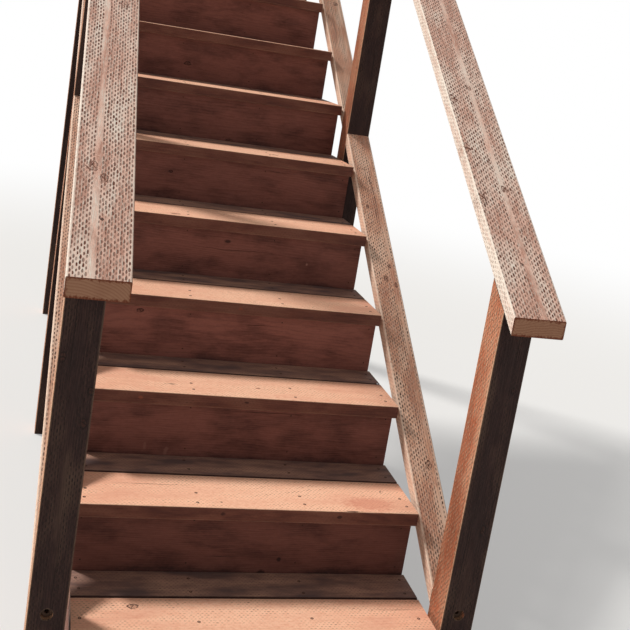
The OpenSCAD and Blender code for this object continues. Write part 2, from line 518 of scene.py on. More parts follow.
    def _knots(self) -> tuple[Feed, Feed, Feed]:
        """Draws the board's knots: oval hearts with a broken dark rim, split as they dried.

        Returns:
            Sockets for the push on the rings, the cores, and the rims and splits.
        """
        push, cores, splits = 0.0, 0.0, 0.0
        if not self.board.knots:
            return push, cores, splits
        add, at = self.add, self.at
        luck = random.Random(self.board.seed + 9)
        wobble = add(RANGE, [at["wobble"], 0.3, 0.7, -1.0, 1.0])
        gaps = add(RANGE, [at["grit"], 0.4, 0.52, 0.15, 0.95])
        for knot in self.board.knots:
            size = knot.radius
            u = add(MINUS, [at["own_along"], knot.along])
            v = add(MINUS, [at["across"], knot.across])
            reach = add(LENGTH, [add(JOIN, [add(TIMES, [u, self.KNOT_OVAL]), v])])
            reach = add(TIMES_PLUS, [wobble, size * self.KNOT_WAVES, reach])
            swirl = add(SMOOTH, [reach, 0.0, size * self.KNOT_SWIRL, size * 0.6, 0.0])
            core = add(SMOOTH, [reach, size * 0.4, size * 1.15, 0.4, 0.0])
            rim = add(RANGE, [add(SIZE, [add(MINUS, [reach, size])]), 0.6, 1.9, 0.95, 0.0])
            rim = add(TIMES, [rim, gaps])
            angle = luck.uniform(0.2, 2.9)
            crack = add(TIMES_PLUS, [u, math.cos(angle), add(TIMES, [v, math.sin(angle)])])
            crack = add(SIZE, [add(TIMES_PLUS, [wobble, 3.0, crack])])
            crack = add(RANGE, [crack, 0.5, 1.7, 1.0, 0.0])
            crack = add(TIMES, [crack, add(RANGE, [reach, size * 0.7, size * 1.2, 0.9, 0.0])])
            push = add(ADD, [push, swirl])
            cores = add(HIGHER, [cores, core])
            splits = add(HIGHER, [add(HIGHER, [splits, rim]), crack])
        return push, cores, splits

    def _rings(self, push: Feed) -> Socket:
        """Draws growth rings round a heart that wanders beside the board.

        Args:
            push: how far knots push the rings aside.

        Returns:
            Socket from 0 in soft wood to 1 in the dark line of a ring.
        """
        add, point = self.add, self.at["point"]
        long, wide = self.BEND
        bend = add(NOISE, [add(STRETCH, [point, (1 / long, 1 / wide, 1 / wide)]), 1.0, 2.0], "Color")
        bend = add(STRETCH, [bend, (0.0, self.HEART_WANDER, self.HEART_WANDER)])
        heart = (0.0, self.HEART[0] + self.luck.uniform(-25, 25), self.HEART[1] + self.luck.uniform(0, 30))
        cell = add(WRAP, [add(STRETCH, [point, (0.0, 1.0, 1.0)]), (self.CELL,) * 3])
        reach = add(LENGTH, [add(SHIFT, [add(SHIFT, [cell, heart]), bend])])
        wave = add(FRACTION, [add(TIMES_PLUS, [reach, 1 / self.finish.ring, push])])
        rise = add(SMOOTH, [wave, 0.35, 0.85, 0.0, 1.0])
        fall = add(SMOOTH, [wave, 0.88, 1.0, 1.0, 0.0])
        return add(TIMES, [rise, fall])

    def _checks(self) -> Feed:
        """Draws thin drying cracks that wander along the grain.

        Returns:
            Socket from 0 to 1 in a crack.
        """
        add, at, luck, board = self.add, self.at, self.luck, self.board
        low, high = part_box(board.node)
        half = (high - low).length / MM * self.CRACK_SPREAD
        line_at = add(JOIN, [add(TIMES, [at["own_along"], 1 / self.CRACK_WAVE]), board.seed * 3.7])
        wander = add(NOISE, [line_at, 1.0, 4.0, 0.6])
        found = 0.0
        for _ in range(self.finish.checks):
            u = add(MINUS, [at["own_along"], luck.uniform(-half, half)])
            bow = luck.choice((-1, 1)) * luck.uniform(*self.CRACK_BOW)
            v = add(TIMES_PLUS, [wander, bow, at["across"]])
            v = add(TIMES_PLUS, [at["streak"], 1.6, v])
            aside = luck.uniform(-self.CRACK_SPREAD, self.CRACK_SPREAD) * board.width
            v = add(MINUS, [v, aside + bow / 2 + 0.8])
            long = luck.uniform(*self.CRACK_REACH)
            room = add(RANGE, [add(SIZE, [u]), 0.0, long, self.CRACK_WIDE, 0.0])
            line = add(MINUS, [room, add(SIZE, [v])])
            found = add(HIGHER, [found, add(RANGE, [line, 0.0, 0.5, 0.0, 0.85])])
        return found

    def _slits(self) -> tuple[Feed, Feed, Feed]:
        """Draws the incising on faces and edges, coarser than it is so that it shows.

        Returns:
            Sockets for the slits, for the pale fibres beside them, and for the rows that cut the
            rim of an end.
        """
        cut, board = self.finish.slits, self.board
        if cut is None:
            return 0.0, 0.0, 0.5
        add, at = self.add, self.at
        side, cloud = at["side"], at["cloud"]

        # Rows bent a little by slow noise, each slit with a chance number of its own. Real slits are
        # finer than a picture of the whole flight can show, so these are drawn coarser
        place = add(MIX, [side, at["across"], at["out"]])
        rows = add(TIMES, [add(TIMES_PLUS, [cloud, self.ROW_BEND, place]), 1 / cut.row])
        row = add(FLOOR, [rows])
        stagger = add(RANGE, [side, 0.0, 1.0, cut.stagger, 0.5])
        steps = add(TIMES_PLUS, [at["along"], 1 / cut.pitch, add(TIMES, [row, stagger])])
        own = add(CHANCE, [add(JOIN, [row, add(FLOOR, [steps]), float(board.seed)])])
        other = add(FRACTION, [add(TIMES, [own, 7.3])])
        u = add(TIMES_PLUS, [own, 0.2, add(MINUS, [add(FRACTION, [steps]), 0.58])])
        u = add(TIMES, [u, 2 * cut.pitch / cut.length])
        v = add(TIMES_PLUS, [other, 0.2, add(MINUS, [add(FRACTION, [rows]), 0.5])])
        v = add(TIMES_PLUS, [v, 2 * cut.row / cut.width, -0.2 * cut.row / cut.width])

        # Frayed oval slits, some fainter, and a torn pale fibre beside each
        reach = add(LENGTH, [add(JOIN, [u, v])])
        ragged = add(RANGE, [own, 0.0, 1.0, 1.35, 0.85])
        slit = add(TIMES_PLUS, [at["grit"], 1.3, add(TIMES, [reach, ragged])])
        slit = add(SMOOTH, [slit, 1.3, 1.7, cut.strength, 0.0])
        slit = add(TIMES, [slit, add(RANGE, [other, 0.0, 0.7, 0.55, 1.0])])
        beside = add(LENGTH, [add(JOIN, [u, add(TIMES_PLUS, [v, 0.8, -1.15])])])
        fibre = add(SMOOTH, [beside, 0.35, 1.0, cut.fibre, 0.0])
        fibre = add(TIMES, [fibre, add(RANGE, [own, 0.15, 0.75])])
        # Torn fibres show pale only on sunlit faces, partly as painted light
        fibre = add(TIMES, [fibre, add(RANGE, [at["sun"], 0.0, 1.0, 0.02, 1.0])])

        # None in the plain strip, along the edges and on the ends, and patchy elsewhere
        middle = add(SIZE, [add(MINUS, [place, cut.strip])])
        border = self.STRIP_BORDER
        middle = add(RANGE, [middle, cut.plain / 2 - border, cut.plain / 2 + border])
        middle = add(HIGHER, [middle, side])
        half = add(MIX, [side, at["half"], board.thick / 2])
        margin = add(RANGE, [add(MINUS, [half, add(SIZE, [place])]), *self.MARGIN])
        fade = add(RANGE, [cloud, 0.38, 0.62, 1.0, 1.0 - cut.patchy])
        face = add(MINUS, [1.0, at["end"]])
        faint = add(RANGE, [side, 0.0, 1.0, 1.0, 0.5 if board.thick < board.width else 1.0])
        for mask in (middle, margin, fade, face, faint):
            slit = add(TIMES, [slit, mask])
            fibre = add(TIMES, [fibre, mask])
        return slit, fibre, add(RANGE, [add(SIZE, [v]), 0.9, 1.8, 1.0, 0.35])

    def _woods(self, rings: Socket, patch: Socket) -> Socket:
        """Colours rings and fibres in two woods, sunlit or sheltered, and pales the weathered ones.

        Args:
            rings: growth rings.
            patch: where the stain lies thick.

        Returns:
            Colour socket.
        """
        add, at, stain, finish = self.add, self.at, self.stain, self.finish
        sun, streak, figure = at["sun"], at["streak"], finish.figure
        fibre = add(RANGE, [streak, 0.42, 0.68, 0.0, 0.8 * figure])
        woods = add(TIMES_PLUS, [rings, 0.4 * figure, fibre])
        fleck = add(RANGE, [at["grit"], 0.3, 0.7, -0.3 * figure, 0.3 * figure])
        woods = add(ADD, [add(ADD, [woods, patch]), fleck], use_clamp=True)
        face = add(BLEND, [woods, stain["early"], stain["late"]])
        kept_and_shaded_face = add(BLEND, [woods, stain["kept"], stain["kept_late"]])
        # The front keeps the darkest colours as painted shade; other sheltered sides are lifted
        if finish.aside_tone != 1.0:
            aside = add(RANGE, [add(DOT, [at["normal"], BACKWARD]), -0.8, -0.4])
            kept_and_shaded_face = add(SCALE, [kept_and_shaded_face, add(RANGE, [aside, 0.0, 1.0, 1.0, finish.aside_tone])])
        # Painted light and shade: sunlit faces take the pale woods, sheltered faces the dark ones
        face = add(BLEND, [sun, kept_and_shaded_face, face])
        # Paling on sunlit faces only: sun bleaching and painted light
        thin = add(RANGE, [at["cloud"], 0.52, 0.3, 0.0, finish.bleach_and_light])
        thin = add(TIMES, [thin, add(RANGE, [sun, 0.0, 1.0, 0.16, 1.0])])
        hair = add(RANGE, [streak, 0.5, 0.66, 0.25 * finish.bleach_and_light, 1.1 * finish.bleach_and_light])
        pale = add(TIMES_PLUS, [hair, sun, thin])
        # Sunlit narrow sides paled by wear and painted light
        narrow = add(RANGE, [streak, 0.3, 0.6, 0.4 * finish.side_wear_and_light, finish.side_wear_and_light])
        narrow = add(TIMES, [narrow, at["side"]])
        pale = add(TIMES_PLUS, [narrow, sun, pale], use_clamp=True)
        return add(BLEND, [pale, face, stain["worn"]])

    def _foot_wear(self) -> list[Layer]:
        """Pales the top where feet land, most on the front board, and leaves specks of dirt.

        Returns:
            Layers of colour.
        """
        add, at, wear = self.add, self.at, self.finish.foot_wear
        if not wear:
            return []
        worn = add(SMOOTH, [add(SIZE, [at["along"]]), *self.FOOT_PATH, 1.0, 0.6])
        board = add(RANGE, [at["back"], 0.0, 1.0, wear, wear * 0.3])
        rub = add(RANGE, [at["grit"], 0.32, 0.6, 0.35, 1.0])
        for mask in (board, rub, at["top"]):
            worn = add(TIMES, [worn, mask])
        specks = add(RANGE, [at["grit"], 0.66, 0.74, 0.0, 0.6])
        return [(worn, self.stain["worn"]), (specks, self.stain["dirt"])]

    def _worn_and_lit_edge(self) -> Socket:
        """Finds the eased edges, rubbed pale in broken lengths, palest as painted light where the sun
        reaches.

        Returns:
            Mask of the worn edges.
        """
        add, at = self.add, self.at
        edge = add(ADD, [at["to_edge"], at["to_face"]])
        edge = add(SMOOTH, [edge, self.EDGE_START, self.EDGE_START + self.finish.edge_wear_and_light, 1.0, 0.0])
        edge = add(TIMES, [edge, add(RANGE, [at["grit"], 0.36, 0.52, 0.2, 1.0])])
        # Painted highlight: the pale edge is strongest on sunlit faces
        return add(TIMES, [edge, add(RANGE, [at["sun"], 0.0, 1.0, 0.1, 1.0])])

    def _ends(self, rings: Socket, patch: Socket, notches: Feed) -> Socket:
        """Colours the end grain: bare tan rings with a splintered dark rim.

        Args:
            rings: growth rings.
            patch: where the stain lies thick.
            notches: rows of slits that cut the rim.

        Returns:
            Colour socket.
        """
        add, at, stain = self.add, self.at, self.stain
        lines = add(TIMES_PLUS, [rings, 0.3, add(TIMES, [patch, 0.2])])
        ends = add(BLEND, [lines, stain["end"], stain["deep"]])
        rim = add(LOWER, [at["to_edge"], at["to_face"]])
        rim = add(RANGE, [add(TIMES_PLUS, [at["grit"], -18.0, rim]), -7.0, -3.9, 1.0, 0.0])
        return add(BLEND, [add(TIMES, [rim, notches]), ends, stain["deep"]])

    def _dirt(self) -> list[Layer]:
        """Darkens the board's lower edge, higher in places, with grime from feet and rain and painted shade.

        Returns:
            Layers of colour.
        """
        add, at, edge = self.add, self.at, self.finish.dirt_edge
        if not edge:
            return []
        height = add(ADD, [at["across"], at["half"]])
        height = add(TIMES_PLUS, [at["grit"], -edge, height])
        height = add(TIMES_PLUS, [at["cloud"], -edge * 2.0, height])
        # Dirt and painted shade in the corner at the board's foot
        return [(add(SMOOTH, [height, -edge * 1.5, edge * 0.3, 0.9, 0.0]), self.stain["dirt"])]

    def _packed_dirt(self) -> list[Layer]:
        """Darkens the back board and the gap between two boards with dust, grime and painted shade.

        Returns:
            Layers of colour.
        """
        add, at = self.add, self.at
        if not self.board.front:
            return []
        # Painted shade with dust on the back board's top, and painted shade with dirt pressed into the gap
        back_dust_and_shade = add(RANGE, [at["cloud"], 0.3, 0.65, 0.5, 0.9])
        for mask in (at["back"], at["top"]):
            back_dust_and_shade = add(TIMES, [back_dust_and_shade, mask])
        reach = add(TIMES_PLUS, [at["grit"], -4.0, add(SIZE, [at["gap"]])])
        gap_dirt_and_shade = add(RANGE, [reach, *self.PACKED_AND_SHADED, 1.0, 0.0])
        return [(back_dust_and_shade, self.stain["dirt"]), (gap_dirt_and_shade, self.stain["deep"])]

    def _marks(self) -> list[Layer]:
        """Adds what the board has of its own, with frayed borders.

        Returns:
            Layers of colour.
        """
        add, at = self.add, self.at
        layers = []
        for mark in self.board.marks:
            cos, sin = math.cos(math.radians(mark.turn)), math.sin(math.radians(mark.turn))
            u = add(MINUS, [at["along"], mark.along])
            v = add(MINUS, [at["out" if mark.on_edge else "across"], mark.across])
            uv = [add(TIMES_PLUS, [u, first / size, add(TIMES, [v, second / size])])
                  for first, second, size in ((cos, sin, mark.long), (-sin, cos, mark.wide))]
            reach = add(TIMES_PLUS, [at["grit"], 1.6, add(LENGTH, [add(JOIN, uv)])])
            cover = add(RANGE, [reach, 1.3, 1.8, mark.strength, 0.0])
            if mark.on_edge:
                cover = add(TIMES, [cover, at["side"]])
            elif self.board.front:
                cover = add(TIMES, [cover, add(MINUS, [at["top"], at["back"]], use_clamp=True)])
            layers.append((cover, self.stain[mark.tone]))
        return layers

    def _recess(self) -> list[Layer]:
        """Bares the wood that the counterbore cut, with a torn rim and a bolt hole painted dark as shade.

        Returns:
            Layers of colour.
        """
        add, at = self.add, self.at
        if not self.board.recess:
            return []
        offset = [add(MINUS, [at[way], axis]) for way, axis in zip(("along", "across"), self.board.recess)]
        reach = add(LENGTH, [add(JOIN, offset)])
        cut = add(RANGE, [add(TIMES_PLUS, [at["grit"], 9.0, reach]), *self.TORN_RIM, 0.08, 0.0])
        near = add(RANGE, [at["out"], *(depth - self.board.thick / 2 for depth in self.BARED)])
        cut = add(TIMES, [cut, near])
        # Painted shade: the bolt hole is coloured dark
        hole = add(RANGE, [reach, *self.BOLT_HOLE, 1.0, 0.0])
        return [(cut, self.stain["worn"]), (hole, self.stain["deep"])]


# Brushed oil stain on incised softwood, rubbed thin by feet: the eye sees warm pinkish boards, pale
# along the front, with faint flecks of slits, dark dirt and painted shade in the gap and on the back
# board, and front edges darkened as painted shade
TREAD_WOOD = TimberFinish(
    "stained tread boards",
    Stain("#e9a684", "#c47058", "#734537", "#56322a", "#fac8a6", "#3a211b", "#8a4c38", "#9a6a50", "#4b4445"),
    Incising(pitch=11.0, row=8.0, length=6.5, width=2.8, stagger=0.41, plain=0.0, depth=0.8, strength=0.75,
             fibre=0.1, patchy=0.9),
    bleach_and_light=0.35, foot_wear=0.75, checks=1, figure=0.55, blotch=(150.0, 45.0))

# The same stain on thin planed boards out of the sun: dark and even, with dirt and painted shade along the
# foot
RISER_WOOD = TimberFinish(
    "stained riser boards",
    Stain("#8c5846", "#5f382d", "#8a564a", "#56332c", "#b58573", "#2c1a17", "#4a2c23", "#8a604c", "#2b2223"),
    bleach_and_light=0.15, dirt_edge=30.0, checks=1, figure=0.42, blotch=(150.0, 60.0))

# Stain on sawn and incised posts: orange brown streaks with dark slits where the sun reaches, and a
# nearly black brown front, darkened as painted shade
POST_WOOD = TimberFinish(
    "stained incised posts",
    Stain("#c86d48", "#8c4529", "#3b2520", "#291916", "#f6cba6", "#21140f", "#4c2c20", "#9c7457", "#2c2320"),
    Incising(fibre=1.0),
    bleach_and_light=0.25, checks=4, edge_wear_and_light=3.5, aside_tone=2.6, figure=0.9, fibres=(36.0, 2.6))

# Stain bleached by sun and rain and rubbed off by hands: pale pink wood with bold brown slits,
# torn fibres beside them and a plain strip along the middle, and sheltered faces darkened as painted
# shade
LEFT_CAP_WOOD = TimberFinish(
    "weathered incised cap rails",
    Stain("#ffcab2", "#b8745a", "#8a5e4c", "#6b4638", "#fff0de", "#6c3620", "#bd866c", "#a0755b", "#6d5d58"),
    Incising(pitch=16.0, row=7.0, length=13.5, width=5.2, strip=16.5, strength=1.0, fibre=1.0, patchy=0.3),
    bleach_and_light=0.6, edge_wear_and_light=6.0, side_wear_and_light=0.35, checks=6, figure=1.1, fibres=(26.0, 3.0))
RIGHT_CAP_WOOD = replace(
    LEFT_CAP_WOOD, bleach_and_light=0.55, side_wear_and_light=0.65,
    slits=Incising(pitch=16.0, row=7.2, length=13.0, width=5.4, stagger=0.44, strip=-13.5, strength=1.0,
                   fibre=1.0, patchy=0.3))

# Weathered like the cap rails but less rubbed: tan to orange brown, with wide pale edges, worn and
# painted as lit, and sheltered faces darkened as painted shade
LOWER_WOOD = TimberFinish(
    "weathered incised lower rails",
    Stain("#f8be9a", "#b86e50", "#744638", "#573227", "#ffdec4", "#4c2212", "#8c5740", "#9a7258", "#5a4a44"),
    Incising(pitch=15.0, row=7.4, length=11.5, width=4.8, stagger=0.44, plain=9.0, strip=-27.0, fibre=1.0),
    bleach_and_light=0.5, edge_wear_and_light=9.0, side_wear_and_light=0.6, checks=4, figure=1.2, fibres=(30.0, 3.0))

# Stain that never saw the sun: plain brown with clear rings
FRAMING_WOOD = TimberFinish(
    "stained framing lumber",
    Stain("#8c5a48", "#6c4032", "#7d5040", "#5d392d", "#a67c68", "#33201a", "#57352a", "#94705a", "#4a3b36"),
    Incising(strength=0.8), bleach_and_light=0.1, figure=0.8)


@dataclass(frozen=True)
class ScrewSteel:
    """Steel deck screw with a brown coating, dull and rusting after years outdoors.

    The coating hides the metal, so the eye sees dark matt dots with a few redder patches.

    Attributes:
        coat: colour of the coating.
        rust: colour of the rust.
        patch: size in mm of the patches of rust.
        roughness: roughness of the coating.
    """

    coat: str = "#2b201b"
    rust: str = "#5a3120"
    patch: float = 3.0
    roughness: float = 0.55

    def build(self) -> bpy.types.Material:
        """Builds the material.

        Returns:
            The finished material.
        """
        material = bpy.data.materials.new("coated deck screw steel")
        add = fresh_nodes(material)
        patch = add(NOISE, [add(COORDINATES), 1 / (self.patch * MM), 3.0])
        rust = add(RANGE, [patch, 0.42, 0.62])
        shade = add(BLEND, [rust, linear(self.coat), linear(self.rust)])
        rough = add(RANGE, [rust, 0.0, 1.0, self.roughness, 0.9])
        add(SURFACE, [add(SHADER, {"Base Color": shade, "Roughness": rough, "Specular IOR Level": 0.25})])
        return material


@dataclass(frozen=True)
class BrightNail:
    """Zinc-plated nail left in the gap between two boards.

    The plating is still bright, so it shows as one pale glint.

    Attributes:
        zinc: colour of the plating.
        spangle: size in mm of its spangle and handling marks.
    """

    zinc: str = "#c9cdd0"
    spangle: float = 2.0

    def build(self) -> bpy.types.Material:
        """Builds the material.

        Returns:
            The finished material.
        """
        material = bpy.data.materials.new("zinc plated nail steel")
        add = fresh_nodes(material)
        mark = add(NOISE, [add(COORDINATES), 1 / (self.spangle * MM), 2.0])
        rough = add(RANGE, [mark, 0.3, 0.7, 0.22, 0.42])
        add(SURFACE, [add(SHADER, {"Base Color": linear(self.zinc), "Metallic": 1.0, "Roughness": rough})])
        return material


def only(*objects: bpy.types.Object) -> None:
    """Selects just these objects and makes the first one active.

    Args:
        *objects: objects to select.
    """
    if bpy.context.object and bpy.context.object.mode != "OBJECT":
        bpy.ops.object.mode_set(mode="OBJECT")
    bpy.ops.object.select_all(action="DESELECT")
    for thing in objects:
        thing.select_set(True)
    bpy.context.view_layer.objects.active = objects[0] if objects else None


def pick_faces(thing: bpy.types.Object, wanted: Callable[[Vector], bool]) -> None:
    """Selects the faces of a mesh that pass a test and enters edit mode.

    Args:
        thing: mesh object.
        wanted: test that takes a face's normal.
    """
    only(thing)
    bpy.ops.object.mode_set(mode="EDIT")
    bpy.ops.mesh.select_mode(type="FACE")
    bpy.ops.mesh.select_all(action="DESELECT")
    bpy.ops.object.mode_set(mode="OBJECT")
    for face in thing.data.polygons:
        face.select = wanted(face.normal)
    bpy.ops.object.mode_set(mode="EDIT")


@dataclass
class Fastener:
    """Head of a screw or nail, modelled once and copied, with sizes in mm.

    Attributes:
        name: name of the pattern piece.
        radius: radius of the head.
        proud: height of the head above the wood.
        drive: radius of the socket for the driver, or 0 on a nail.
        sides: number of sides of the head.
        depth: depth of the head.
        shank: radius of its underside, as a share of its radius.
        rim: width of its bevelled rim.
        crown: height of its middle above the rim.
        wall: width of the socket's sloping wall.
        socket: depth of the socket.
        twist: turn in radians from one copy to the next.
    """

    name: str
    radius: float
    proud: float
    drive: float
    sides: int = 16
    depth: float = 3.0
    shank: float = 0.45
    rim: float = 0.5
    crown: float = 0.2
    wall: float = 0.3
    socket: float = 1.4
    twist: float = 1.3

    def model(self) -> bpy.types.Object:
        """Models the head at the origin, facing +Z.

        Returns:
            The pattern object.
        """
        only()
        depth = self.depth * MM
        bpy.ops.mesh.primitive_cylinder_add(vertices=self.sides, radius=self.radius * MM, depth=depth,
                                            location=(0, 0, self.proud * MM - depth / 2))
        head = bpy.context.object
        head.name = self.name
        bpy.ops.object.transform_apply(location=True, rotation=True, scale=True)
        pick_faces(head, lambda normal: normal.z < -0.9)
        bpy.ops.transform.resize(value=(self.shank, self.shank, 1.0))
        bpy.ops.object.mode_set(mode="OBJECT")
        pick_faces(head, lambda normal: normal.z > 0.9)
        bpy.ops.mesh.inset(thickness=self.rim * MM)
        bpy.ops.transform.translate(value=(0, 0, self.crown * MM))
        if self.drive:
            bpy.ops.mesh.inset(thickness=(self.radius - self.rim - self.drive) * MM)
            bpy.ops.mesh.inset(thickness=self.wall * MM)
            bpy.ops.transform.translate(value=(0, 0, -self.socket * MM))
        bpy.ops.object.mode_set(mode="OBJECT")
        return head

    def spread(self, name: str, places: list[tuple[Vector, Vector]],
               material: bpy.types.Material) -> bpy.types.Object:
        """Copies the head to each place and joins the copies into one piece.

        Args:
            name: name of the finished piece.
            places: point on the wood and the way out of it, for each head.
            material: finish of the heads.

        Returns:
            The joined piece.
        """
        pattern = self.model()
        copies = []
        for count, (spot, outward) in enumerate(places):
            copy = pattern.copy()
            copy.data = pattern.data.copy()
            bpy.context.scene.collection.objects.link(copy)
            turn = outward.to_track_quat("Z", "Y").to_matrix().to_4x4()
            twist = Matrix.Rotation(count * self.twist, 4, "Z")
            copy.data.transform(Matrix.Translation(spot) @ turn @ twist)
            copies.append(copy)
        bpy.data.objects.remove(pattern)
        only(*copies)
        bpy.ops.object.join()
        piece = bpy.context.object
        piece.name = name
        piece.data.name = name
        bpy.ops.object.shade_smooth_by_angle(angle=math.radians(35))
        piece.data.materials.clear()
        piece.data.materials.append(material)
        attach(piece, "root")
        LOG.info("added %s: %d heads", name, len(places))
        return piece


def spans(node: str) -> list[float]:
    """Length of a node's box along each axis, in mm."""
    low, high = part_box(node)
    return [(high[axis] - low[axis]) / MM for axis in range(3)]


# Scattered knots: the share of a board's length and width from its middle on which they lie, and
# their radii in mm
KNOT_SPREAD = (0.46, 0.42)
KNOT_RADII = (4, 9)


def scatter_knots(seed: int, length: float, width: float, count: int) -> tuple[Knot, ...]:
    """Places small knots on a board.

    Args:
        seed: number of the board.
        length: length of the board in mm.
        width: width of its face in mm.
        count: how many knots.

    Returns:
        The knots.
    """
    luck = random.Random(seed * 7 + 1)
    along, across = KNOT_SPREAD
    return tuple(
        Knot(luck.uniform(-along, along) * length, luck.uniform(-across, across) * width,
             luck.uniform(*KNOT_RADII))
        for _ in range(count))


# What some boards have of their own, seen in the photograph
MARKS = {
    "tread_02": (
        Mark(330, -42, 90, 48, "late", strength=0.45),
        Mark(270, -89, 28, 3, "deep"),
        Mark(386, 33, 9, 1.8, "deep", turn=70),
        Mark(-91, -61, 4, 4, "deep"),
        Mark(-88, 2, 8, 6, "deep", on_edge=True),
        Mark(232, 2, 9, 6, "deep", on_edge=True)),
    "tread_03": (
        Mark(-217, -22, 15, 5, "deep", strength=0.7),
        Mark(42, -12, 9, 5, "knot"),
        Mark(-5, 3, 9, 3.5, "deep", on_edge=True),
        Mark(-308, 0, 9, 6, "knot", on_edge=True)),
    "tread_04": (Mark(-3, 0, 8, 6, "knot", on_edge=True),),
    "riser_02": (Mark(91, -24, 9, 8, "deep"), Mark(47, -64, 13, 9, "deep")),
    "riser_03": (
        Mark(-214, -52, 20, 7, "worn", turn=80, strength=0.25),
        Mark(-275, -36, 15, 5, "worn", turn=95, strength=0.2)),
    "riser_05": (Mark(271, 10, 5, 5, "worn", strength=0.6), Mark(-16, 62, 14, 8, "deep")),
}

# Checks and torn spots of the rails: mm from the lower end, mm across, half length, half width, turn
RAIL_MARKS = {
    "cap_rail_right": ((415, 58, 18, 3.5, 50), (428, 50, 12, 3, -35), (603, 54, 17, 5, 75),
                       (812, 46, 14, 4, 60), (455, -22, 16, 3, 35)),
    "cap_rail_left": ((345, 40, 14, 2.5, 40), (360, 30, 13, 2.5, -25), (318, 4, 14, 2.5, 35)),
    "lower_rail_1_right": ((1545, -11, 50, 2, 4), (1616, 12, 22, 2, 82)),
}

# Knots of the rails that show best: mm from the lower end, mm across, radius
RAIL_KNOTS = {
    "cap_rail_left": ((352, 28, 9), (318, 2, 8), (1010, -30, 10)),
    "cap_rail_right": ((405, 62, 12), (605, 64, 11), (815, 55, 10), (455, -14, 6), (880, -8, 6)),
    "lower_rail_1_right": ((379, -17, 8), (1059, -31, 5), (1083, 1, 7), (1142, -21, 5), (1420, 18, 5)),
}

# How bright some risers are next to the others
TONES = {"riser_02": 0.76, "riser_03": 1.0, "riser_04": 1.3, "riser_05": 1.05, "riser_06": 0.95,
         "riser_07": 0.95, "riser_08": 1.05, "riser_09": 1.1}


